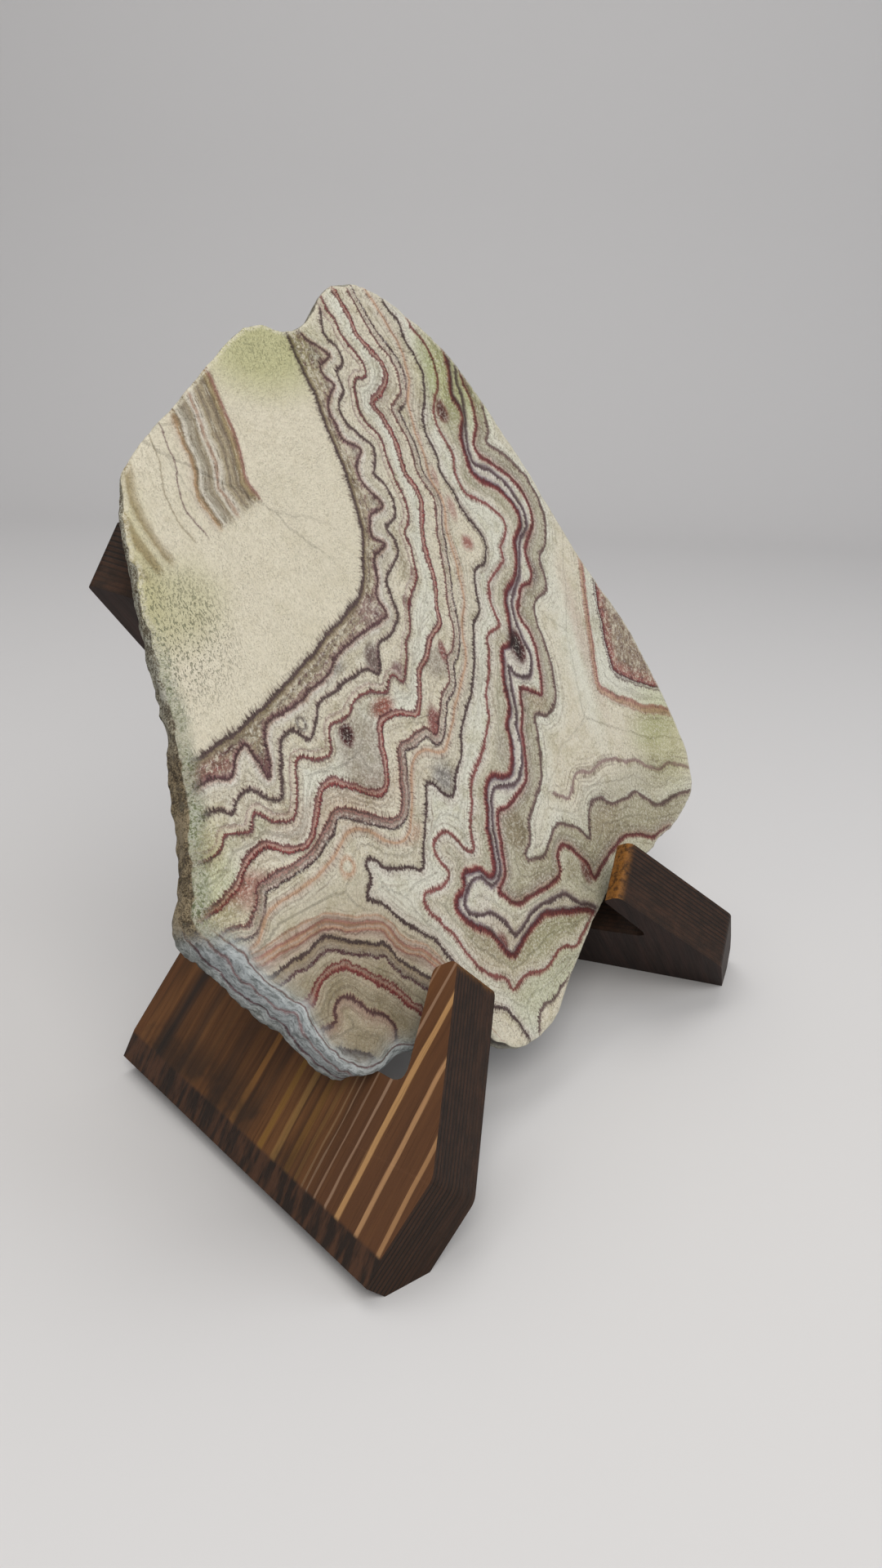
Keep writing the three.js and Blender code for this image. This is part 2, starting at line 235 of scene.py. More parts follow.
# upright veins in the upper left, and the arc on which they end
VEIN_GUIDES = {
    "vein": [
        (-74, 222), (-68, 200), (-66, 184), (-66, 177), (-67.5, 170.5), (-63.8, 162.5), (-58, 150),
        (-50, 132),
    ],
    "vein_end": [
        (-26, 180), (-44, 168.5), (-54, 165), (-60, 162.5), (-68, 160.5), (-80, 157), (-92, 151.5),
        (-114, 143),
    ],
}


def catmull_rom(points, step=0.45):
    """A smooth curve through the points, sampled about every step millimetres."""
    p = np.array(points, float)
    p = np.vstack([2 * p[0] - p[1], p, 2 * p[-1] - p[-2]])
    pieces = []
    for a, b, c, d in zip(p, p[1:], p[2:], p[3:]):
        count = max(2, int(np.linalg.norm(c - b) / step))
        t = np.linspace(0, 1, count, endpoint=False)[:, None]
        pieces.append(0.5 * (2 * b + (c - a) * t + (2 * a - 5 * b + 4 * c - d) * t ** 2
                             + (3 * b - a - 3 * c + d) * t ** 3))
    return np.vstack(pieces)


def in_chunks(function, places):
    """The function's arrays for all the places, worked out a part at a time to save memory."""
    parts = [function(places[start:start + CHUNK]) for start in range(0, len(places), CHUNK)]
    return [np.concatenate(arrays) for arrays in zip(*parts)]


def measure(places, points):
    """Each place's distance to the curve, positive on its left-hand side, and how far along
    the curve the nearest point lies, both in millimetres."""
    close = 1.5          # nearer than this, the distance is taken square to the curve
    slide = 0.3          # and the station may slide this far from the nearest sample
    curve = catmull_rom(points)
    along = np.concatenate([[0], np.cumsum(np.linalg.norm(np.diff(curve, axis=0), axis=1))])
    tangent = np.gradient(curve, axis=0)
    tangent /= np.linalg.norm(tangent, axis=1)[:, None]
    normal = np.column_stack([-tangent[:, 1], tangent[:, 0]])
    squares = (curve ** 2).sum(1)

    def distance_and_station(part):
        nearest = (squares[None, :] - 2 * part @ curve.T).argmin(1)
        gap = part - curve[nearest]
        across = (gap * normal[nearest]).sum(1)
        far = np.sign(across) * np.linalg.norm(gap, axis=1)
        shift = (gap * tangent[nearest]).sum(1).clip(-slide, slide)
        return np.where(np.abs(far) < close, across, far), along[nearest] + shift

    return in_chunks(distance_and_station, places)


# ---------------------------------------------------------------- the stone's mesh

def store(mesh, name, values):
    layer = mesh.attributes.new(name, "FLOAT", "POINT")
    layer.data.foreach_set("value", np.asarray(values, np.float32))


def noise_at(points, scale, seed):
    """Smooth noise from -1 to 1 at each 3-D point, in features of about scale millimetres."""
    shift = Vector((seed * 17.3, seed * 5.1, seed * 9.7))
    return np.array([noise.noise(Vector(p) / scale + shift) for p in points])


def vertex_places(node):
    """The places of a node's vertices, in millimetres."""
    places = np.empty(len(node.data.vertices) * 3)
    node.data.vertices.foreach_get("co", places)
    return places.reshape(-1, 3) / MM


def slab_frame(node):
    """The slab's directions and where its face coordinates start, from its CAD mesh."""
    across = np.array([1.0, 0.0, 0.0])
    upwards = np.array([0.0, math.sin(SLAB_LEAN), math.cos(SLAB_LEAN)])
    outwards = np.array([0.0, -math.cos(SLAB_LEAN), math.sin(SLAB_LEAN)])
    local = vertex_places(node) @ np.column_stack([across, upwards, outwards])
    start = np.array([local[:, 0].min() - SLAB_LEFT_END, local[:, 1].min() - SLAB_LOW_END,
                      local[:, 2].max()])
    return local - start, start, np.vstack([across, upwards, outwards])


def cap_loop(node, local, depth):
    """The ordered outline of the slab's flat face that lies at this depth."""
    tolerance = 0.03
    keys = [tuple(np.round(p, 2)) for p in local]
    uses = {}
    for polygon in node.data.polygons:
        corners = [keys[i] for i in polygon.vertices]
        if any(abs(c[2] - depth) > tolerance for c in corners):
            continue
        for a, b in zip(corners, corners[1:] + corners[:1]):
            uses.setdefault(frozenset((a, b)), []).append((a, b))
    after = {a: b for pairs in uses.values() if len(pairs) == 1 for a, b in pairs}
    loop = [next(iter(after))]
    while after[loop[-1]] != loop[0]:
        loop.append(after[loop[-1]])
    loop = np.array(loop)[:, :2]
    area = np.sum(loop[:, 0] * np.roll(loop[:, 1], -1) - np.roll(loop[:, 0], -1) * loop[:, 1])
    return loop if area > 0 else loop[::-1]


def resample(loop, count):
    """The closed loop at count evenly spaced places along its length."""
    closed = np.vstack([loop, loop[:1]])
    along = np.concatenate([[0], np.cumsum(np.linalg.norm(np.diff(closed, axis=0), axis=1))])
    places = np.linspace(0, along[-1], count, endpoint=False)
    return np.column_stack([np.interp(places, along, closed[:, i]) for i in (0, 1)])


def outward_normals(loop):
    span = 3             # points to either side that a normal is averaged over
    step = np.roll(loop, -span, axis=0) - np.roll(loop, span, axis=0)
    normal = np.column_stack([step[:, 1], -step[:, 0]])
    return normal / np.linalg.norm(normal, axis=1)[:, None]


def inside_points(loop, spacing, margin):
    """A triangular lattice inside the loop, no closer to it than the margin."""
    low = loop.min(0)
    high = loop.max(0)
    rows = np.arange(low[1], high[1], spacing * math.sqrt(3) / 2)
    points = []
    for j, y in enumerate(rows):
        xs = np.arange(low[0], high[0], spacing) + (j % 2) * spacing / 2
        points.append(np.column_stack([xs, np.full_like(xs, y)]))
    points = np.vstack(points)
    x1, y1 = loop.T
    x2, y2 = np.roll(loop, -1, axis=0).T

    def inside(part):
        x, y = part.T[:, :, None]
        spans = (y1 > y) != (y2 > y)
        crossing = x1 + (y - y1) / np.where(y2 == y1, 1, y2 - y1) * (x2 - x1)
        odd = (spans & (x < crossing)).sum(1) % 2 == 1
        near = np.hypot(x - x1, y - y1).min(1) < margin
        return (odd & ~near,)

    return points[in_chunks(inside, points)[0]]


def cap_mesh(loop, spacing):
    """Points and triangles of a flat cap whose first points are the loop's."""
    inner = inside_points(loop, spacing, 0.6 * spacing)
    points = np.vstack([loop, inner])
    edges = [(i, (i + 1) % len(loop)) for i in range(len(loop))]
    result = delaunay_2d_cdt([tuple(p) for p in points.tolist()], edges, [], 1, 1e-6)
    return np.array([tuple(p) for p in result[0]]), result[2]


def left_and_down(places, start, span):
    """Nothing right of the start or above it, and one from the span further left and down."""
    return np.clip((np.array(start) - places) / span, 0, 1).prod(1)


def crumbling(places):
    """How far the margin has crumbled at each place: one on the left, nothing on the right."""
    return left_and_down(places, (-70, 185), (26, 20))


def edge_drop(places, inset):
    """How far the face falls away near its outline, in millimetres."""
    crumbled_width = 1.9
    sound_width = 0.7
    flat = np.column_stack([places, np.zeros(len(places))])
    lumps = 0.5 + 0.5 * noise_at(flat, 2.4, 5)
    fine = 0.5 + 0.5 * noise_at(flat, 1.1, 6)
    crumbled = crumbling(places) * (0.25 + 1.1 * lumps + 0.4 * fine)
    sound = 0.12 + 0.2 * fine
    return crumbled * np.exp(-inset / crumbled_width) + sound * np.exp(-inset / sound_width)


def rim_rings(front, back, thickness):
    """Rings of the broken rim from the front face's outline to the back's."""
    lump_size = 5.0
    grain_size = 2.1
    chip_size = 9.0
    sink_limits = (0.02, 3.0)    # how far the rim sinks below the CAD slab's, at least and at most
    corner_share = 0.14          # the part of the thickness over which a corner is worn
    outward = outward_normals(front)
    worn = crumbling(front)
    rings = []
    for depth in RIM_DEPTHS:
        place = front + (back - front) * depth
        solid = np.column_stack([place, np.full(len(place), -depth * thickness)])
        broad = noise_at(solid, lump_size, 1)
        fine = noise_at(solid, grain_size, 2)
        chips = np.clip(noise_at(solid, chip_size, 3) - 0.15, 0, 1)
        corner = max(0.0, 1 - min(depth, 1 - depth) / corner_share)
        sink = 0.3 + 0.5 * worn + (0.26 + 0.6 * worn) * broad + (0.22 + 0.5 * worn) * fine
        sink += (1.1 + 0.8 * worn) * chips * (0.4 + corner) + (0.35 + 0.5 * worn) * corner
        solid[:, :2] -= outward * np.clip(sink, *sink_limits)[:, None]
        solid[:, 2] -= edge_drop(solid[:, :2], np.zeros(len(solid))) * (1 - depth)
        rings.append(solid)
    return rings


def inset_of(places, outline):
    """Distance of each place from the outline's nearest point."""
    def gap(part):
        squares = (part ** 2).sum(1)[:, None] + (outline ** 2).sum(1)[None, :] - 2 * part @ outline.T
        return (np.sqrt(np.maximum(squares.min(1), 0)),)

    return in_chunks(gap, places)[0]


def slab_mesh(node):
    """The stone's mesh, its vertices on the face's axes, and its thickness."""
    local, start, directions = slab_frame(node)
    thickness = -local[:, 2].min()
    front = resample(cap_loop(node, local, 0.0), RIM_POINTS)
    back = resample(cap_loop(node, local, -thickness), RIM_POINTS)
    back = np.roll(back, -np.argmin(np.linalg.norm(back - front[0], axis=1)), axis=0)
    front = front + outward_normals(front) * FLAT_INSET
    back = back + outward_normals(back) * FLAT_INSET
    rings = rim_rings(front, back, thickness)
    points = list(rings)
    last = (len(rings) - 1) * RIM_POINTS
    faces = []
    for ring in range(0, last, RIM_POINTS):
        for i in range(RIM_POINTS):
            a = ring + i
            b = ring + (i + 1) % RIM_POINTS
            faces.append((a, a + RIM_POINTS, b + RIM_POINTS, b))
    count = len(rings) * RIM_POINTS
    insets = [np.zeros(count)]
    for ring, first, spacing, is_back in ((rings[0], 0, FRONT_SPACING, False),
                                          (rings[-1], last, BACK_SPACING, True)):
        flat, triangles = cap_mesh(ring[:, :2], spacing)
        inner = flat[RIM_POINTS:]
        inset = inset_of(inner, ring[:, :2])
        level = np.full(len(inner), -thickness) if is_back else -edge_drop(inner, inset)
        points.append(np.column_stack([inner, level]))
        insets.append(inset)
        offset = count - RIM_POINTS
        for triangle in triangles:
            corners = [first + i if i < RIM_POINTS else offset + i for i in triangle]
            faces.append(tuple(reversed(corners)) if is_back else tuple(corners))
        count += len(inner)
    points = np.vstack(points)
    mesh = bpy.data.meshes.new("calcite_stone")
    mesh.from_pydata(((points + start) @ directions * MM).tolist(), [], faces)
    mesh.update()
    store(mesh, "inset", np.concatenate(insets))
    return mesh, points, thickness


def layer_places(points, thickness):
    """Where each vertex lies in the layers, as a place on the front face. Layers cut the
    face at a slant, most of all in the lower left lobe, and they waver a little."""
    slant = np.array([0.15, -0.25])
    lobe_slant = np.array([1.35, -1.35])
    places = points[:, :2].copy()
    lobe = left_and_down(places, (10, 95), (60, 50))
    places += -points[:, 2:] * (slant + lobe[:, None] * lobe_slant)
    for scale, reach, seed in ((7.0, 0.7, 11), (2.6, 0.35, 13)):
        places[:, 0] += reach * noise_at(points, scale, seed)
        places[:, 1] += reach * noise_at(points, scale, seed + 1)
    return places


def build_slab(node):
    mesh, points, thickness = slab_mesh(node)
    places = layer_places(points, thickness)
    lobes = {name: guide[::-1] for name, guide in LOBE_GUIDES.items()}
    closest = np.full(len(places), np.inf)
    fibre = np.zeros(len(places))
    for name, guide in (GUIDES | lobes | VEIN_GUIDES).items():
        distance, station = measure(places, guide)
        store(mesh, name, distance)
        if name in VEIN_GUIDES:
            continue
        nearer = np.abs(distance) < np.abs(closest)
        closest = np.where(nearer, distance, closest)
        fibre = np.where(nearer, station, fibre)
    on_rim = np.zeros(len(points))
    on_rim[RIM_POINTS:(len(RIM_DEPTHS) - 1) * RIM_POINTS] = 1
    for name, values in (("fibre_across", closest), ("fibre_along", fibre), ("rim", on_rim),
                         ("face_x", places[:, 0]), ("face_y", places[:, 1]),
                         ("depth", -points[:, 2] / thickness)):
        store(mesh, name, values)
    for polygon in mesh.polygons:
        polygon.use_smooth = True
    slab = bpy.data.objects.new("calcite_stone", mesh)
    bpy.context.scene.collection.objects.link(slab)
    return slab


# ---------------------------------------------------------------- node helpers

def rgb(code, alpha=1.0):
    """A linear colour from a hexadecimal sRGB code."""
    parts = [int(code[i:i + 2], 16) / 255 for i in (0, 2, 4)]
    linear = [c / 12.92 if c <= 0.04045 else ((c + 0.055) / 1.055) ** 2.4 for c in parts]
    return (*linear, alpha)


class Nodes:
    """A material's node tree, with short calls for the nodes used here. For the stone, face
    holds the place on the slab's face, and waver how far the lines stray there."""

    def __init__(self, name):
        self.material = bpy.data.materials.new(name)
        self.material.use_nodes = True
        self.tree = self.material.node_tree
        self.shader = self.tree.nodes["Principled BSDF"]

    def add(self, kind, inputs=(), **settings):
        node = self.tree.nodes.new(kind)
        for key, value in settings.items():
            setattr(node, key, value)
        for key, value in inputs.items() if isinstance(inputs, dict) else enumerate(inputs):
            self.put(node.inputs[key], value)
        return node

    def put(self, socket, value):
        """Feeds an input with another node's output, a colour's code or a plain value."""
        if isinstance(value, bpy.types.NodeSocket):
            self.tree.links.new(value, socket)
        elif isinstance(value, str):
            socket.default_value = rgb(value)
        elif value is not None:
            socket.default_value = value

    def attribute(self, name):
        return self.add("ShaderNodeAttribute", attribute_name=name).outputs["Fac"]

    # numbers

    def math(self, operation, *values):
        return self.add("ShaderNodeMath", values, operation=operation).outputs[0]

    def times(self, first, *others):
        for other in others:
            first = self.math("MULTIPLY", first, other)
        return first

    def plus(self, first, *others):
        for other in others:
            first = self.math("ADD", first, other)
        return first

    def line(self, value, slope, start):
        """The slope times the value, plus the start."""
        return self.math("MULTIPLY_ADD", value, slope, start)

    def about_zero(self, value, reach):
        """Noise from 0 to 1 turned into one from minus to plus the reach."""
        return self.line(value, 2 * reach, -reach)

    def smooth(self, value, low, high, start=0.0, end=1.0):
        # A smooth step never leaves its range, so the node's own clamp isn't needed. With it, the
        # stone's material outgrows the renderer's stack and the stone renders black.
        return self.add("ShaderNodeMapRange", (value, low, high, start, end),
                        interpolation_type="SMOOTHSTEP", clamp=False).outputs[0]

    def fade(self, value, low, high, start=1.0):
        return self.smooth(value, low, high, start, 0.0)

    # vectors

    def vector(self, operation, *values):
        return self.add("ShaderNodeVectorMath", values, operation=operation).outputs

    def combine(self, *values):
        return self.add("ShaderNodeCombineXYZ", values).outputs[0]

    def dot(self, vector, direction):
        return self.vector("DOT_PRODUCT", vector, tuple(direction))["Value"]

    def scaled(self, vector, scale):
        return self.vector("MULTIPLY", vector, scale)[0]

    def place(self):
        """Position in the row frame, in millimetres."""
        return self.scaled(self.add("ShaderNodeTexCoord").outputs["Object"], (1 / MM,) * 3)

    def bump(self, height, distance, strength=1.0, normal=None):
        return self.add("ShaderNodeBump", {"Height": height, "Distance": distance,
                                           "Strength": strength, "Normal": normal}).outputs[0]

    # textures

    def noise(self, vector, scale, detail, roughness):
        return self.add("ShaderNodeTexNoise", {"Vector": vector, "Scale": scale, "Detail": detail,
                                               "Roughness": roughness}).outputs["Fac"]

    def drawn_noise(self, axes, detail, roughness):
        """Noise over up to three values, each with a scale of its own."""
        scaled = [self.times(value, scale) for value, scale in axes]
        return self.noise(self.combine(*scaled), 1.0, detail, roughness)

    def near(self, spot, radii, soft):
        """One inside an ellipse on the stone's face, falling to nothing over the soft share
        of it, with an outline that wavers."""
        raggedness = 0.6 / (radii[0] + radii[1])
        offset = self.vector("MULTIPLY_ADD", self.face, (1 / radii[0], 1 / radii[1], 0),
                             (-spot[0] / radii[0], -spot[1] / radii[1], 0))[0]
        size = self.vector("LENGTH", offset)["Value"]
        return self.fade(self.line(self.waver, raggedness, size), 1 - soft, 1 + soft)

    # colours

    def ramp(self, value, stops):
        """Colour and cover that change with the value; stops are (place, code, cover)."""
        node = self.add("ShaderNodeValToRGB", (value,))
        elements = node.color_ramp.elements
        while len(elements) < len(stops):
            elements.new(0.5)
        for element, (place, *colour) in zip(elements, stops):
            element.position = place
            element.color = rgb(*colour)
        return node.outputs

    def profile(self, distance, reach, stops):
        """Colour and cover as they change with the distance, from minus to plus the reach."""
        place = self.line(distance, 0.5 / reach, 0.5)
        return self.ramp(place, [(0.5 + 0.5 * at / reach, *colour) for at, *colour in stops])

    def mix(self, factor, a, b, blend="MIX"):
        # sockets 0, 6 and 7 are the factor and the two colours
        return self.add("ShaderNodeMix", {0: factor, 6: a, 7: b}, data_type="RGBA",
                        blend_type=blend).outputs[2]

    def paint(self, colour, cover, code, strength=1.0, blend="MIX"):
        """Lays one colour over what is there already."""
        if strength != 1.0:
            cover = self.times(cover, strength)
        return self.mix(cover, colour, code, blend)

    def shade(self, colour, cover, code, strength=1.0):
        """Multiplies what is there already by one colour."""
        return self.paint(colour, cover, code, strength, "MULTIPLY")

    def paint_profile(self, colour, distance, layer, inside=None):
        """Lays one profile over what is there already."""
        over = self.profile(distance, *layer)
        cover = over["Alpha"] if inside is None else self.times(over["Alpha"], inside)
        return self.mix(cover, colour, over["Color"])

    def finish(self, colour, roughness, specular, normal):
        shader = self.shader.inputs
        self.put(shader["Base Color"], colour)
        self.put(shader["Roughness"], roughness)
        self.put(shader["Normal"], normal)
        shader["Specular IOR Level"].default_value = specular
        return self.material


# ---------------------------------------------------------------- calcite

CREAM, IVORY, WHITE, CHALK = "E6DEC8", "DFD8C4", "EAE9D9", "E2DCD0"
SAGE, MOSS, TAN, OLIVE = "C5BFA8", "B5B78C", "BAAC93", "8D7D60"
ASH, SLATE, DUSK, INK = "B2A89A", "8F8B8A", "6A5250", "4A3033"
PLUM, MAUVE, MAROON, WINE = "643C43", "957474", "863537", "641E25"
RUST, ROSE, BLUSH, PEACH = "A24B3B", "AC6A61", "CDB7AA", "C99D7E"

# What each guide carries: how far out its profile reaches, and the colour and cover at
# distances from the guide in millimetres, where no cover given is a full one. The last colour
# is the ground beyond. Later guides lie over earlier ones.
LAYERS = {
    "edge": (12, [
        (-1.9, DUSK, 0), (-0.8, DUSK, 0.4), (-0.35, INK, 0.95), (0.35, INK, 0.95), (0.9, OLIVE, 0.95),
        (1.6, TAN), (2.1, TAN), (2.4, DUSK), (2.8, TAN), (4.3, TAN), (4.6, MAUVE), (5.0, TAN), (8.0, ASH),
        (11, TAN),
    ]),
    "lace": (8, [
        (-1.6, MAUVE, 0), (-0.8, MAUVE, 0.6), (-0.3, PLUM, 0.95), (0.25, INK, 0.95), (0.75, BLUSH),
        (1.5, CHALK), (3.0, IVORY),
    ]),
    "dark_1": (6, [
        (-1.4, ASH, 0), (-0.75, MAUVE, 0.5), (-0.3, INK, 0.95), (0.3, INK, 0.95), (0.8, IVORY),
        (2.6, CREAM),
    ]),
    "maroon_1": (6, [
        (-2.6, MAUVE, 0), (-2.2, MAUVE, 0.75), (-1.8, BLUSH, 0.6), (-0.8, IVORY, 0.4),
        (-0.35, MAROON, 0.95), (0.3, PLUM, 0.95), (0.8, IVORY), (3.0, WHITE),
    ]),
    "maroon_2": (6, [
        (-1.4, BLUSH, 0), (-1.0, MAROON, 0.85), (-0.7, PLUM, 0.95), (-0.35, ROSE, 0.9), (0.0, BLUSH),
        (0.35, ROSE), (0.7, MAROON), (1.0, PLUM), (1.4, IVORY), (4.5, CREAM),
    ]),
    "pair": (8, [
        (-0.9, BLUSH, 0), (-0.4, MAROON, 0.85), (0.1, INK, 0.95), (0.5, BLUSH), (0.9, IVORY), (1.4, ASH),
        (1.8, IVORY), (2.2, BLUSH), (2.5, INK), (2.9, INK), (3.4, CREAM), (6.0, IVORY),
    ]),
    "orange": (10, [
        (-2.2, BLUSH, 0), (-1.0, BLUSH, 0.5), (-0.4, PEACH, 0.8), (0.1, PEACH, 0.8), (0.6, BLUSH, 0.5),
        (2.0, IVORY, 0.5), (6.0, CREAM),
    ]),
    "lobe_orange": (8, [
        (-2.4, BLUSH, 0), (-1.6, PEACH, 0.8), (-1.2, BLUSH, 0.8), (-0.6, BLUSH, 0.8), (-0.1, ROSE, 0.85),
        (0.5, PEACH, 0.9), (1.0, BLUSH, 0.9), (1.6, PEACH, 0.9), (2.0, ROSE, 0.85), (2.5, BLUSH, 0.9),
        (5.0, IVORY),
    ]),
    "lobe_dark": (8, [
        (-1.0, ASH, 0), (-0.35, INK, 0.95), (0.3, INK, 0.95), (0.8, TAN), (2.6, ASH), (3.0, PLUM),
        (3.5, PLUM), (4.0, IVORY), (6.5, SAGE),
    ]),
    "lobe_red": (8, [
        (-1.6, BLUSH, 0), (-1.1, MAROON, 0.9), (-0.7, MAROON, 0.95), (-0.3, BLUSH), (0.4, ROSE),
        (0.7, MAROON), (1.1, MAROON), (1.6, IVORY), (4.5, SAGE),
    ]),
    "lobe_inner": (8, [
        (-1.1, ROSE, 0), (-0.4, PLUM, 0.95), (0.3, PLUM, 0.95), (0.9, BLUSH), (3.5, IVORY), (6.0, SAGE),
    ]),
    "lobe_corner": (6, [
        (-1.0, SLATE, 0), (-0.4, INK, 0.95), (0.3, INK, 0.95), (0.9, SLATE), (2.6, ASH), (3.1, PLUM),
        (3.6, ASH),
    ]),
    "thread": (6, [
        (-2.2, SAGE, 0), (-0.8, ASH, 0.55), (-0.32, INK, 0.97), (0.32, INK, 0.97), (0.8, CHALK),
        (3.5, WHITE),
    ]),
    "tip": (6, [
        (-1.1, SAGE, 0), (-0.4, DUSK, 0.95), (0.3, DUSK, 0.95), (0.9, CREAM),
    ]),
    "maroon_3": (6, [
        (-1.6, BLUSH, 0), (-0.8, ROSE, 0.5), (-0.35, MAROON, 0.93), (0.3, MAROON, 0.93), (0.8, CHALK),
        (3.0, IVORY), (5.0, SAGE),
    ]),
    "set_1": (6, [
        (-2.3, BLUSH, 0), (-1.4, ROSE, 0.6), (-0.9, MAROON, 0.95), (0.1, WINE), (0.5, PLUM),
        (1.0, "9B8E92"), (1.8, CHALK),
    ]),
    "set_2": (6, [
        (-1.1, CHALK, 0), (-0.6, "9B8E92", 0.8), (-0.3, "563A42", 0.95), (0.3, "563A42", 0.95),
        (0.8, "9B8E92"), (1.5, CHALK), (3.0, WHITE),
    ]),
    "set_3": (6, [
        (-1.8, BLUSH, 0), (-1.1, ROSE, 0.6), (-0.6, MAROON, 0.95), (0.3, WINE), (0.9, BLUSH), (1.8, ASH),
        (4.5, SAGE),
    ]),
    "outer": (12, [
        (-1.7, TAN, 0), (-0.8, MAUVE, 0.45), (-0.35, PLUM, 0.88), (0.35, DUSK, 0.9), (0.9, WHITE),
        (9.0, CREAM),
    ]),
    "brown": (6, [
        (-1.3, TAN, 0), (-0.4, MAUVE, 0.8), (0.4, MAUVE, 0.8), (1.3, WHITE, 0),
    ]),
    "rose": (6, [
        (-2.4, BLUSH, 0), (-1.6, ROSE, 0.6), (-0.6, PEACH, 0.7), (0.5, ROSE, 0.8), (1.2, ROSE, 0.8),
        (1.8, WHITE), (4.0, WHITE),
    ]),
    "patch": (8, [
        (-1.3, BLUSH, 0), (-0.6, INK, 0.9), (0.0, CHALK), (0.6, INK), (1.2, MAROON), (2.4, ROSE),
        (7.0, "9C8874"),
    ]),
}

# guides whose lines are smooth, and their share of the others' wavering
CALM = ("orange", "lobe_orange")
CALM_SHARE = 0.3
# what a line turns into in one place: (centre, radii, softness, profile)
LOCAL = {
    "pair": ((-48, 84), (54, 15), 0.35, (8, [
        (0.1, PLUM, 0), (0.6, ROSE, 0.75), (1.1, PLUM, 0.7), (1.6, BLUSH, 0.7), (2.1, MAUVE, 0.75),
        (2.5, INK, 0),
    ])),
}

# veins east (+) and west (-) of the vein guide, and where they end, about the guide of their end
VEINS = (32, [
    (-31, CREAM, 0), (-29.3, TAN, 0.9), (-27.0, CREAM, 0.2), (-25.6, "A08D68", 0.85),
    (-23.8, "A08D68", 0.7), (-22.6, CREAM, 0.1), (-20.8, "A08D68", 0.85), (-19.0, TAN, 0.7),
    (-17.8, CREAM, 0), (-11, CREAM, 0), (-10.4, OLIVE, 0.9), (-9.8, CREAM, 0), (-6.7, CREAM, 0),
    (-6.0, PLUM, 0.9), (-5.3, CREAM, 0), (-1.6, BLUSH, 0.3), (-0.6, "B08A62", 0.9), (0.5, "7E6848", 0.9),
    (1.3, CHALK, 0.8), (2.6, "999080", 0.8), (4.2, "908370", 0.85), (5.2, OLIVE, 0.8), (6.2, CHALK, 0.8),
    (7.2, "9C6C56", 0.8), (8.2, CHALK, 0.8), (10.2, "AC9C7E", 0.85), (11.2, "6C5A48", 0.85),
    (12.2, "AC9C7E", 0.85), (14.2, "6C5A48", 0.9), (15.6, "A08A58", 0.85), (17.4, MAROON, 0.85),
    (18.4, CREAM, 0),
])
VEIN_STOP = (-1.8, 1.6)

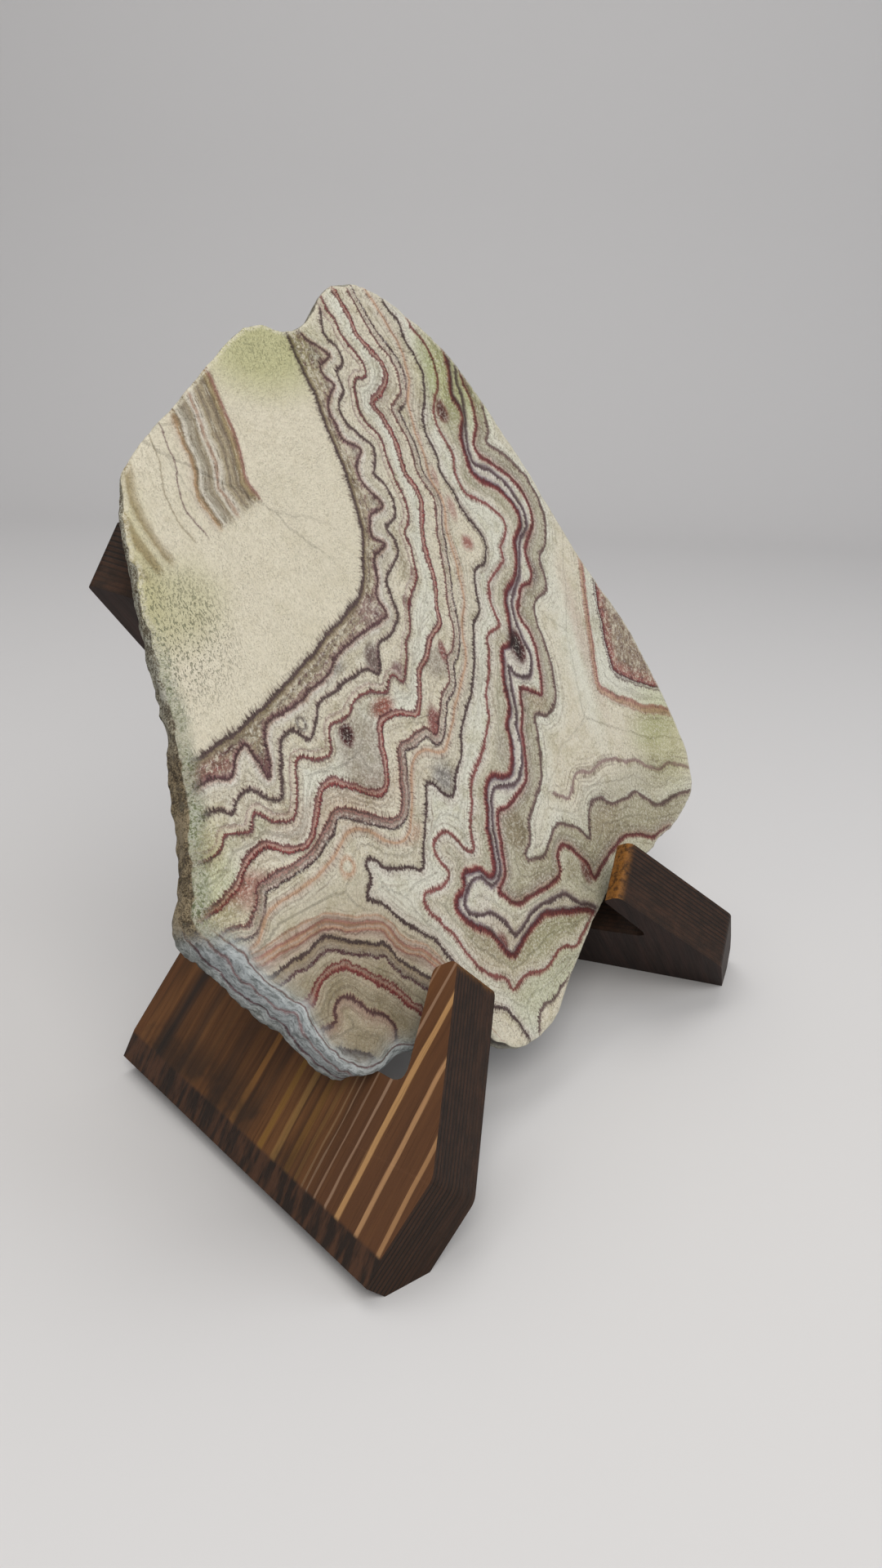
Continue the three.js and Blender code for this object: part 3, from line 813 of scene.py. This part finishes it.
# small fills that stay inside the layer of the guide they are listed under:
# (centre, radii, softness, colour, cover)
FILLS = {
    "edge": [
        ((-76.5, 109), (5, 5), 0.5, OLIVE, 0.7), ((-9, 171), (2, 6), 0.6, OLIVE, 0.6),
        ((-92, 107), (8, 3), 0.6, MAROON, 0.6), ((-19, 133), (6, 4), 0.6, MAUVE, 0.7),
        ((-82, 107), (2.2, 3.0), 0.5, MAROON, 0.8), ((-75.5, 102.5), (2.0, 4.0), 0.4, WINE, 0.8),
    ],
    "lace": [
        ((-24, 120), (3.4, 4.2), 0.5, DUSK, 0.9), ((-41, 121), (4, 2), 0.6, SLATE, 0.6),
        ((-7, 147), (1.0, 1.0), 0.3, INK, 0.9),
    ],
    "dark_1": [
        ((-15.5, 114.5), (3.2, 3.0), 0.4, MAUVE, 0.9), ((-2, 132), (2.0, 2.4), 0.4, WINE, 0.9),
        ((5, 138), (1.6, 3.4), 0.4, MAROON, 0.8), ((2, 142), (1.6, 4.5), 0.7, OLIVE, 0.5),
        ((-58, 110), (3.4, 3.0), 0.3, ASH, 0.5),
    ],
    "maroon_1": [
        ((-40, 97), (10, 11), 0.35, ASH, 0.85), ((-44, 103.5), (2.7, 3.3), 0.35, WINE, 1),
        ((-27, 107), (5, 2.8), 0.6, RUST, 0.9), ((-86, 92), (9, 4), 0.6, MOSS, 0.5),
    ],
    "maroon_2": [
        ((-7, 97), (3.4, 5.5), 0.4, MAROON, 0.9), ((3, 113.5), (6, 4.5), 0.5, ASH, 0.8),
        ((7, 116), (1.7, 3.0), 0.4, MAROON, 0.85), ((-92, 77), (7, 4), 0.5, ROSE, 0.6),
        ((-100, 80), (9, 3), 0.6, RUST, 0.6),
    ],
    "orange": [
        ((-11, 81), (6, 5.5), 0.6, SLATE, 0.85), ((36, 144.5), (2.4, 2.2), 0.6, ROSE, 0.9),
        ((27.4, 143), (1.3, 10), 0.5, PEACH, 0.7), ((33.4, 156), (2.0, 3.6), 0.6, ROSE, 0.6),
        ((28.4, 178), (1.0, 3.0), 0.5, ROSE, 0.7), ((30, 166), (1.2, 3.4), 0.6, ROSE, 0.6),
        ((-32, 72), (5, 2.5), 0.7, PEACH, 0.6), ((-62, 66), (28, 5), 0.9, SAGE, 0.5),
    ],
    "lobe_corner": [
        ((-20, 10), (10, 9), 0.3, IVORY, 1), ((-17, 4.5), (3.2, 2.6), 0.5, ROSE, 0.8),
    ],
    "thread": [
        ((52, 196), (12, 10), 0.7, MOSS, 0.6), ((9, 12), (22, 9), 0.5, MOSS, 0.55),
    ],
    "maroon_3": [
        ((44.5, 185.5), (2.8, 3.6), 0.3, ROSE, 0.9), ((52.3, 148.3), (0.9, 0.8), 0.3, PLUM, 0.9),
        ((21, 82), (4, 5), 0.6, ASH, 0.6), ((13, 25), (26, 5), 0.6, MOSS, 0.35),
        ((41, 159), (6, 3), 0.8, BLUSH, 0.3),
    ],
    "set_1": [
        ((-9, 31), (2.6, 3.4), 0.5, MAROON, 0.9), ((55, 202.5), (3.2, 1.8), 0.4, WINE, 0.9),
        ((45.4, 110), (3.2, 5.6), 0.25, WINE, 1),
    ],
    "set_2": [
        ((43.6, 35.5), (2.6, 4.4), 0.4, MAROON, 0.85), ((-11, 45), (4, 3.5), 0.7, CHALK, 0.8),
        ((36, 39), (4.2, 4.0), 0.5, SAGE, 0.9), ((46, 94), (2.5, 3), 0.5, TAN, 0.9),
    ],
    "set_3": [
        ((61.6, 193.5), (1.4, 4.2), 0.4, WINE, 0.8), ((14.5, 58.5), (5.6, 6.4), 0.35, OLIVE, 0.75),
        ((47, 92), (5, 4.5), 0.5, TAN, 0.9), ((63, 46), (9, 5), 0.6, TAN, 0.6),
        ((66, 131), (4, 4), 0.5, DUSK, 0.6), ((85, 42), (16, 5), 0.7, SAGE, 0.7),
    ],
    "outer": [
        ((88, 52), (34, 7), 0.5, SAGE, 0.75), ((64, 106), (4, 18), 0.9, CREAM, 0.7),
        ((76, 100), (6, 26), 0.9, WHITE, 0.9), ((84, 104), (3.5, 22), 0.8, BLUSH, 0.5),
        ((112, 66), (16, 6), 0.7, MOSS, 0.45),
    ],
}
FILL_START = (0.5, 1.5)      # a fill begins this far from the guide's line

# rings round two of the small spots: (centre, radius, colour)
RINGS = (((-60, 72), 3.0, PEACH), ((-59, 110), 2.0, INK))

# stains over everything, three small ones and then broad ones: (centre, radii, colour that what
# is there is multiplied by, strength)
STAINS = [
    ((43.8, 110.5), (3.2, 5.4), WINE, 1.0), ((44.5, 185.5), (2.2, 3.4), "7E4238", 0.9),
    ((-44, 103.5), (1.9, 2.4), WINE, 0.8), ((-28, 206), (22, 12), "D5DCB0", 0.8),
    ((-96, 166), (9, 24), "E2E2BE", 0.6), ((-88, 146), (16, 10), "D6DAB8", 0.6),
    ((-104, 88), (9, 12), "D2D7A8", 0.6), ((-108, 74), (9, 7), "CFC8A6", 0.6),
    ((56, 196), (16, 16), "D0DAA2", 0.8), ((-60, 87), (34, 5), "DDC2BC", 0.4),
    ((118, 62), (18, 18), "DEE2BA", 0.7), ((-10, 30), (16, 12), "E3D6C8", 0.5),
    ((-74, 38), (34, 24), "C6B9AA", 0.8), ((60, 30), (60, 18), "D2CCB4", 0.7),
]
STAIN_SOFTNESS = 0.6

# patches that show where a noise passes from the first value to the second: (first, second, colour)
SMUDGES = ((0.54, 0.62, DUSK), (0.63, 0.67, WINE), (0.48, 0.40, CREAM))
VEIN_PATCHES = ((0.54, 0.62, "6A5A42"), (0.44, 0.36, "DCD6C2"))

# grains of the crumbled left margin and of the broken rim, by a noise's value
MARGIN_GRAINS = ((0.36, "606B4B"), (0.46, "A0A67E"), (0.54, "DEE0D0"), (0.64, "A9A583"))
RIM_GRAINS = ((0.26, "55483A"), (0.42, "8A806A"), (0.54, "B8B5A0"), (0.68, "DDDBCC"))

# parts of the face, as (centre, radii, softness)
LOBE = ((-80, 38), (48, 34), 0.35)
LOBE_RIM = ((-84, 30), (52, 46), 0.12)
PITTED_LEFT = ((-90, 138), (17, 15), 0.7)
PITTED_TOP = ((-26, 205), (15, 7), 0.7)
LEFT_MARGIN = ((-118, 114), (26, 50), 0.25)
BROWN_RIM = ((-100, 88), (24, 30), 0.4)
# where painted shade darkens the rim beside the stand's notch
PAINTED_SHADE_RIM = ((-30, 10), (13, 12), 0.3)

# the slanted rim under the lower left lobe: colour and cover at distances from the face's
# outline in millimetres, minus on the face and plus down the rim. The pale blue-grey colours
# are partly the rim's own layers and partly painted light reflected up onto this downward rim.
BEVEL = (10, [
    (-6, "B4B7B2", 0), (-3.2, "B0B4B0", 0.35), (-1.5, "BDC2C0", 0.9), (-1.1, PLUM, 0.8), (-0.7, "BCC2C2"),
    (1.7, "AEB5B7"), (2.1, MAUVE), (2.6, "B9BFC1"), (4.6, "A4ABAD"), (5.0, PLUM), (5.5, "B4BABA"),
    (7.4, "979B98"),
])
BEVEL_RUN = (0.79, -0.61, 0)      # the way this rim runs, on the face


def paint_layers(nodes, colour):
    for guide, layer in LAYERS.items():
        ripple = nodes.times(nodes.waver, CALM_SHARE if guide in CALM else 1.0)
        distance = nodes.plus(nodes.attribute(guide), ripple)
        colour = nodes.paint_profile(colour, distance, layer)
        if guide in LOCAL:
            *part, change = LOCAL[guide]
            colour = nodes.paint_profile(colour, distance, change, nodes.near(*part))
        if guide in FILLS:
            beyond = nodes.smooth(distance, *FILL_START)
            for *part, code, strength in FILLS[guide]:
                cover = nodes.times(nodes.near(*part), beyond)
                colour = nodes.paint(colour, cover, code, strength)
    return colour


def paint_patches(nodes, colour, texture, inside, patches, strength):
    for first, second, code in patches:
        cover = nodes.times(nodes.smooth(texture, first, second), inside)
        colour = nodes.paint(colour, cover, code, strength)
    return colour


def calcite_material():
    nodes = Nodes("banded_calcite")
    place = nodes.place()
    fibre = nodes.drawn_noise(((nodes.attribute("fibre_along"), 1.9),
                               (nodes.attribute("fibre_across"), 0.42)), 2, 0.6)
    fine = nodes.noise(place, 1.5, 4, 0.65)
    broad = nodes.noise(place, 0.19, 3, 0.5)
    patchy = nodes.noise(place, 0.09, 3, 0.55)
    nodes.waver = nodes.plus(nodes.about_zero(fibre, 1.05), nodes.about_zero(fine, 0.85),
                             nodes.about_zero(broad, 0.6))
    nodes.face = nodes.combine(nodes.attribute("face_x"), nodes.attribute("face_y"))

    vein = nodes.plus(nodes.attribute("vein"), nodes.about_zero(fine, 0.8))
    vein_end = nodes.plus(nodes.attribute("vein_end"), nodes.about_zero(fine, 3.0))
    colour = nodes.paint_profile(CREAM, vein, VEINS, nodes.fade(vein_end, *VEIN_STOP))
    colour = paint_layers(nodes, colour)
    for centre, radius, code in RINGS:
        ring = nodes.near(centre, (radius, radius * 1.1), 0.3)
        hole = nodes.near(centre, (radius * 0.55, radius * 0.6), 0.35)
        cover = nodes.times(ring, nodes.math("SUBTRACT", 1.0, hole))
        colour = nodes.paint(colour, cover, code, 0.8)
    for centre, radii, code, strength in STAINS:
        colour = nodes.shade(colour, nodes.near(centre, radii, STAIN_SOFTNESS), code, strength)

    # faint growth lines between the guides
    away = nodes.math("ABSOLUTE", nodes.attribute("fibre_across"))
    drift = nodes.add("ShaderNodeSeparateXYZ", (place,)).outputs
    parallel = nodes.drawn_noise(((away, 1.25), (drift["X"], 0.045), (drift["Z"], 0.045)), 3, 0.6)
    banded = nodes.smooth(nodes.attribute("edge"), -1.0, 2.0)
    cover = nodes.times(nodes.smooth(parallel, 0.5, 0.66, 0.0, 0.5), banded,
                        nodes.smooth(away, 2.5, 8.0, 1.0, 0.15))
    colour = nodes.shade(colour, cover, "A5958C")

    # smudges in the tan layer along the edge guide and in the dark patch on the right
    tan_layer = nodes.times(nodes.smooth(nodes.attribute("edge"), 1, 2),
                            nodes.fade(nodes.attribute("lace"), -1.2, -0.2))
    smudged = nodes.math("MAXIMUM", tan_layer, nodes.smooth(nodes.attribute("patch"), 0.8, 1.6))
    smudge = nodes.noise(place, 0.42, 4, 0.7)
    colour = paint_patches(nodes, colour, smudge, smudged, SMUDGES, 0.6)

    # grey and brown mottling along the upright veins
    in_veins = nodes.times(nodes.smooth(nodes.attribute("vein"), -2, 0),
                           nodes.fade(nodes.attribute("vein"), 17, 19),
                           nodes.fade(vein_end, *VEIN_STOP))
    mottle = nodes.drawn_noise(((nodes.attribute("vein"), 1.3), (vein_end, 0.3)), 4, 0.7)
    colour = paint_patches(nodes, colour, mottle, in_veins, VEIN_PATCHES, 0.65)

    # clouds of grey-green, and fibres standing off the lines, fainter in the lobe
    cloud = nodes.smooth(nodes.noise(place, 0.16, 4, 0.6), 0.46, 0.70, 0.0, 0.5)
    colour = nodes.shade(colour, nodes.times(cloud, nodes.line(banded, 0.7, 0.3)), "D2CDB6")
    fuzzy = nodes.line(nodes.near(*LOBE), -0.75, 1.0)
    hair = nodes.times(nodes.smooth(fibre, 0.5, 0.66), nodes.fade(away, 0.4, 3.4, 0.75), fuzzy)
    colour = nodes.shade(colour, hair, "846A68")
    colour = nodes.shade(colour, nodes.smooth(fibre, 0.35, 0.75, 0.0, 0.25), "BFB6A6")

    # grains between the lines, dark specks, and open pits
    grain = nodes.noise(place, 1.2, 3, 0.7)
    between = nodes.times(banded, nodes.smooth(away, 0.8, 1.8), fuzzy)
    dull = nodes.times(nodes.smooth(grain, 0.52, 0.64, 0.0, 0.4), between,
                       nodes.smooth(away, 3.0, 9.0, 1.0, 0.3))
    colour = nodes.shade(colour, dull, "9A8E82")
    bright = nodes.times(nodes.smooth(grain, 0.49, 0.38, 0.0, 0.4), between)
    colour = nodes.paint(colour, bright, "EAE6DA")
    grit = nodes.noise(place, 2.4, 3, 0.75)
    speck = nodes.times(nodes.smooth(grit, 0.52, 0.65, 0.0, 0.9),
                        nodes.smooth(broad, 0.34, 0.58, 0.4, 1.0),
                        nodes.line(banded, -0.1, 0.5), fuzzy)
    colour = nodes.shade(colour, speck, "827A6C")
    glint = nodes.smooth(grit, 0.46, 0.34, 0.0, 0.4)
    colour = nodes.paint(colour, glint, "F0EDE0", blend="SOFT_LIGHT")
    pitted = nodes.math("MAXIMUM", nodes.near(*PITTED_LEFT), nodes.times(nodes.near(*PITTED_TOP), 0.5))
    holes = nodes.noise(nodes.scaled(place, (1.0, 0.55, 0.55)), 2.1, 2, 0.5)
    pit = nodes.times(nodes.smooth(holes, 0.55, 0.64), nodes.math("MAXIMUM", pitted, 0.2))
    colour = nodes.paint(colour, pit, "666C50", 0.6)

    # crumbled margin: pale chips round the front edge, coarse green and white grains on the left
    inset = nodes.attribute("inset")
    chips = nodes.times(nodes.fade(inset, 0.2, 1.6, 0.8), nodes.smooth(fine, 0.4, 0.55))
    colour = nodes.paint(colour, chips, "E2DCC6")
    margin = nodes.times(nodes.fade(inset, 0.6, 5.5, 0.95), nodes.near(*LEFT_MARGIN))
    grains = nodes.ramp(nodes.noise(place, 1.1, 3, 0.7), MARGIN_GRAINS)["Color"]
    cover = nodes.times(margin, nodes.smooth(patchy, 0.36, 0.6, 0.35, 1.0))
    colour = nodes.mix(cover, colour, grains)

    # the broken rim: brown and green grains, and painted shade by the stand's notch
    rim = nodes.attribute("rim")
    rubble = nodes.noise(place, 0.42, 5, 0.75)
    crumbs = nodes.plus(nodes.about_zero(rubble, 0.75), nodes.about_zero(grit, 0.95), patchy)
    crust = nodes.ramp(crumbs, RIM_GRAINS)["Color"]
    crust = nodes.shade(crust, nodes.near(*BROWN_RIM), "C9B69E")
    # painted shade: dark brown on the rim beside the stand's notch
    crust = nodes.paint(crust, nodes.near(*PAINTED_SHADE_RIM), "463A32")
    cover = nodes.times(rim, nodes.smooth(rubble, 0.3, 0.45, 0.75, 0.95))
    colour = nodes.mix(cover, colour, crust)

    # and layers and streaks along the slanted lower left rim, whose pale colours are partly painted light
    # reflected up from below
    down = nodes.line(nodes.attribute("depth"), SLAB_THICKNESS, nodes.times(inset, -1.0))
    down = nodes.plus(down, nodes.about_zero(nodes.noise(place, 0.06, 2, 0.5), 3.2),
                      nodes.about_zero(fine, 0.25))
    bevel = nodes.profile(down, *BEVEL)
    lobe_rim = nodes.near(*LOBE_RIM)
    streak = nodes.drawn_noise(((down, 1.3), (nodes.dot(nodes.face, BEVEL_RUN), 0.3)), 4, 0.65)
    # the rim's own layers and streaks, lightened as painted light from below
    layers_and_painted_light = nodes.shade(bevel["Color"], nodes.smooth(streak, 0.46, 0.62, 0.0, 0.75), "9C9E9A")
    layers_and_painted_light = nodes.paint(layers_and_painted_light, nodes.smooth(streak, 0.42, 0.32, 0.0, 0.6), "DDE0DE")
    colour = nodes.mix(nodes.times(bevel["Alpha"], lobe_rim), colour, layers_and_painted_light)

    raised = nodes.plus(nodes.times(fibre, 0.4), nodes.times(grit, 0.9))
    surface = nodes.bump(nodes.math("SUBTRACT", raised, pit), 0.5 * MM)
    broken = nodes.times(rim, nodes.line(lobe_rim, -0.35, 1.0))
    coarse = nodes.times(rubble, nodes.math("MAXIMUM", broken, margin))
    return nodes.finish(colour, roughness=nodes.line(grit, 0.3, 0.45), specular=0.35,
                        normal=nodes.bump(coarse, 2.4 * MM, normal=surface))


# ---------------------------------------------------------------- the boards

# Pale stripes on a board's upper face: (distance across the grain from the front corner,
# half width, colour, strength), in millimetres.
STRIPES = [
    (1.4, 0.8, "A17A54", 0.85), (10.4, 0.85, "A9825C", 0.9), (18.2, 1.0, "AE8659", 0.95),
    (22.9, 0.42, "927660", 0.85), (27.5, 0.35, "8C705A", 0.8), (30.9, 0.3, "866C56", 0.8),
    (33.0, 0.35, "82664A", 0.8), (36.0, 0.7, "765632", 0.7), (40.0, 1.2, "76552C", 0.75),
    (46.3, 1.3, "8A693E", 0.8), (52.6, 1.3, "825F2E", 0.8), (66.6, 1.3, "8C6235", 0.8),
    (73.5, 0.8, "664628", 0.5), (87.0, 1.4, "62442A", 0.5), (120.4, 1.2, "6A452A", 0.6),
]
# and blue-black streaks: (distance, half width, strength)
STREAKS = [(60.5, 2.0, 0.35), (78.0, 3.0, 0.3), (96.0, 2.2, 0.45), (107.5, 3.4, 0.8), (126.0, 3.0, 0.6)]
STREAK_COLOUR = "2A2624"
RING_WIDTH = 1.45
HORN_TINT = {"right": 0.6, "left": 0.1}     # how far the wood near the top turns orange


def board_axes(side):
    """Directions along the board, up it and out of its upper face."""
    turn = 1 if side == "right" else -1
    s, c = math.sin(BOARD_SPLAY), math.cos(BOARD_SPLAY)
    level, rise = math.cos(BOARD_RISE), math.sin(BOARD_RISE)
    along = (-s * turn, c, 0)
    up = (-level * c * turn, -level * s, rise)
    face = (c * rise * turn, s * rise, level)
    return along, up, face


def board_material(name, side, board):
    nodes = Nodes(name)
    along, up, face = board_axes(side)
    points = vertex_places(board)
    place = nodes.place()
    front = nodes.math("SUBTRACT", nodes.dot(place, along), float((points @ along).min()))
    height = nodes.math("SUBTRACT", nodes.dot(place, up), float((points @ up).max()) - BOARD_HEIGHT)
    depth = nodes.math("SUBTRACT", nodes.dot(place, face), float((points @ face).min()))
    across = nodes.line(height, -math.tan(GRAIN_LEAN), front)

    # the grain wanders a little on its way up the board
    sway = nodes.drawn_noise(((across, 0.03), (height, 0.02), (depth, 0.05)), 2, 0.5)
    across = nodes.plus(across, nodes.about_zero(sway, 1.6))
    fibres = nodes.drawn_noise(((across, 2.6), (height, 0.055), (depth, 2.6)), 4, 0.65)
    soft = nodes.drawn_noise(((across, 0.35), (height, 0.02), (depth, 0.35)), 3, 0.6)
    cloud = nodes.noise(place, 0.045, 4, 0.6)

    # upper face: brown wood with pale stripes and blue-black streaks
    brown = nodes.ramp(soft, ((0.3, "483120"), (0.5, "604027"), (0.7, "744F2F")))["Color"]
    brown = nodes.paint(brown, nodes.fade(across, 24, 38), "583A27", 0.7)
    edge = nodes.plus(across, nodes.about_zero(fibres, 0.55))
    lines = [(at, 0.6 * half, 1.15 * half, code, strength) for at, half, code, strength in STRIPES]
    lines += [(at, 0.0, 1.4 * half, STREAK_COLOUR, strength) for at, half, strength in STREAKS]
    for at, core, reach, code, strength in lines:
        away = nodes.math("ABSOLUTE", nodes.math("SUBTRACT", edge, at))
        brown = nodes.paint(brown, nodes.fade(away, core, reach, strength), code)
    # the foot: stripes stop at the bevel, the wood below it is darker, and blue-black blotches lie above
    # it
    blotch = nodes.times(nodes.smooth(cloud, 0.42, 0.6), nodes.fade(height, 2, 14, 0.65),
                         nodes.smooth(across, 30, 50))
    brown = nodes.paint(brown, blotch, "26221F")
    foot = nodes.mix(nodes.smooth(soft, 0.4, 0.62), "2C231E", "4E3628")
    brown = nodes.mix(nodes.fade(height, -1.9, -0.7), brown, foot)
    horn = nodes.times(nodes.smooth(height, 40, 62), nodes.smooth(across, 20, 26))
    brown = nodes.paint(brown, horn, "8A5426", HORN_TINT[side])

    # edges: fine dark growth lines that keep their depth below the upper face
    ring = nodes.plus(depth, nodes.about_zero(sway, 0.5))
    ring = nodes.math("SINE", nodes.times(ring, 2 * math.pi / RING_WIDTH))
    rings = nodes.times(nodes.smooth(ring, 0.1, 0.9), nodes.smooth(depth, 4, 9, 0.35, 0.9))
    side_wood = nodes.mix(nodes.smooth(soft, 0.3, 0.7), "27190F", "3A2518")
    side_wood = nodes.paint(side_wood, rings, "17100B")
    worn = nodes.noise(place, 0.55, 4, 0.7)
    tip = nodes.times(nodes.smooth(height, 59, 62), nodes.smooth(height, 80, 70),
                      nodes.smooth(front, 29, 32), nodes.fade(front, 60, 70),
                      nodes.smooth(worn, 0.38, 0.56, 0.25, 0.95))
    side_wood = nodes.mix(tip, side_wood, nodes.mix(fibres, "70461E", "A06D32"))

    facing = nodes.dot(nodes.add("ShaderNodeTexCoord").outputs["Normal"], face)
    colour = nodes.mix(nodes.smooth(facing, 0.55, 0.8), side_wood, brown)
    # painted shade: the board's underside faces down and is painted a darker brown than its upper face
    under = nodes.mix(nodes.smooth(soft, 0.35, 0.7), "241712", "38251F")
    colour = nodes.mix(nodes.fade(facing, -0.85, -0.6), colour, under)
    colour = nodes.shade(colour, nodes.smooth(fibres, 0.5, 0.78, 0.0, 0.45), "5A4A40")
    colour = nodes.paint(colour, nodes.fade(fibres, 0.22, 0.45, 0.25), "A08870", blend="OVERLAY")
    relief = nodes.math("SUBTRACT", nodes.times(fibres, 0.5), nodes.times(rings, 0.4))
    return nodes.finish(colour, roughness=nodes.line(fibres, 0.3, 0.42), specular=0.18,
                        normal=nodes.bump(relief, 0.3 * MM, 0.6))


def ease_edges(board):
    """Rounds the board's edges. Its triangles don't share corners, so they are joined first."""
    weld = board.modifiers.new("joined_corners", "WELD")
    weld.merge_threshold = JOINING_DISTANCE * MM
    bevel = board.modifiers.new("eased_edges", "BEVEL")
    bevel.width = EASING * MM
    bevel.segments = 2
    bevel.limit_method = "ANGLE"
    bevel.angle_limit = EASED_ANGLE


# ---------------------------------------------------------------- floor, light and camera

def build_stage():
    """A pale floor that curves up into a plain backdrop."""
    half = 1.6
    near_end = -1.4
    reach = 0.9
    bend = 0.35
    rise = 1.8
    steps = 16
    profile = [(near_end, 0.0), (reach, 0.0)]
    for i in range(1, steps + 1):
        angle = math.pi / 2 * i / steps
        profile.append((reach + bend * math.sin(angle), bend * (1 - math.cos(angle))))
    profile.append((reach + bend, rise))
    verts = [(x, y, z) for y, z in profile for x in (-half, half)]
    faces = [(2 * i, 2 * i + 1, 2 * i + 3, 2 * i + 2) for i in range(len(profile) - 1)]
    mesh = bpy.data.meshes.new("backdrop")
    mesh.from_pydata(verts, [], faces)
    for polygon in mesh.polygons:
        polygon.use_smooth = True
    floor = bpy.data.objects.new("backdrop", mesh)
    floor.rotation_euler.z = VIEW_AZIMUTH
    nodes = Nodes("backdrop")
    nodes.put(nodes.shader.inputs["Base Color"], "D4D3D3")
    nodes.put(nodes.shader.inputs["Roughness"], 0.85)
    mesh.materials.append(nodes.material)
    bpy.context.scene.collection.objects.link(floor)


def build_camera(foot):
    data = bpy.data.cameras.new("camera")
    data.lens = VIEW_LENS
    data.sensor_width = SENSOR_WIDTH
    data.clip_start = 0.01
    camera = bpy.data.objects.new("camera", data)
    level = math.cos(VIEW_ELEVATION)
    forward = Vector((-math.sin(VIEW_AZIMUTH) * level, math.cos(VIEW_AZIMUTH) * level,
                      -math.sin(VIEW_ELEVATION)))
    turn = forward.to_track_quat("-Z", "Y").to_matrix() @ Matrix.Rotation(VIEW_ROLL, 3, "Z")
    camera.matrix_world = Matrix.LocRotScale(foot + VIEW_AIM - forward * VIEW_DISTANCE,
                                             turn.to_quaternion(), None)
    bpy.context.scene.collection.objects.link(camera)
    bpy.context.scene.camera = camera


def build_light():
    world = bpy.data.worlds.new("studio")
    world.use_nodes = True
    background = world.node_tree.nodes["Background"].inputs
    background["Color"].default_value = rgb("E6E6EA")
    background["Strength"].default_value = WORLD_STRENGTH
    bpy.context.scene.world = world
    for name, (place, size, power, colour) in LIGHTS.items():
        data = bpy.data.lights.new(name, "AREA")
        data.shape = "DISK"
        data.size = size
        data.energy = power
        data.color = colour
        light = bpy.data.objects.new(name, data)
        light.location = place
        light.rotation_euler = (Vector(LIGHT_AIM) - Vector(place)).to_track_quat("-Z", "Y").to_euler()
        bpy.context.scene.collection.objects.link(light)


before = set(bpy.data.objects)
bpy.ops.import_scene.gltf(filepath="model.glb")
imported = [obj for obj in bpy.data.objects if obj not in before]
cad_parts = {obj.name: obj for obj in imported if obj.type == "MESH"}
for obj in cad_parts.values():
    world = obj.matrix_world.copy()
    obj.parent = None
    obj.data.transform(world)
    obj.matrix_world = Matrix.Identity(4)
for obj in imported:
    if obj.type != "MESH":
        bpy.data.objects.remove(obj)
cad_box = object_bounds()
low, high = cad_box
build_camera(Vector(((low.x + high.x) / 2, (low.y + high.y) / 2, low.z)))

stone = build_slab(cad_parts["calcite_slab"])
stone.data.materials.append(calcite_material())
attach(stone, "root")
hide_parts("calcite_slab")

for side in ("right", "left"):
    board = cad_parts[f"stand_board_{side}"]
    board.material_slots[0].material = board_material(f"stained_wood_{side}", side, board)
    ease_edges(board)

build_stage()
build_light()
bpy.context.scene.view_settings.view_transform = "Standard"
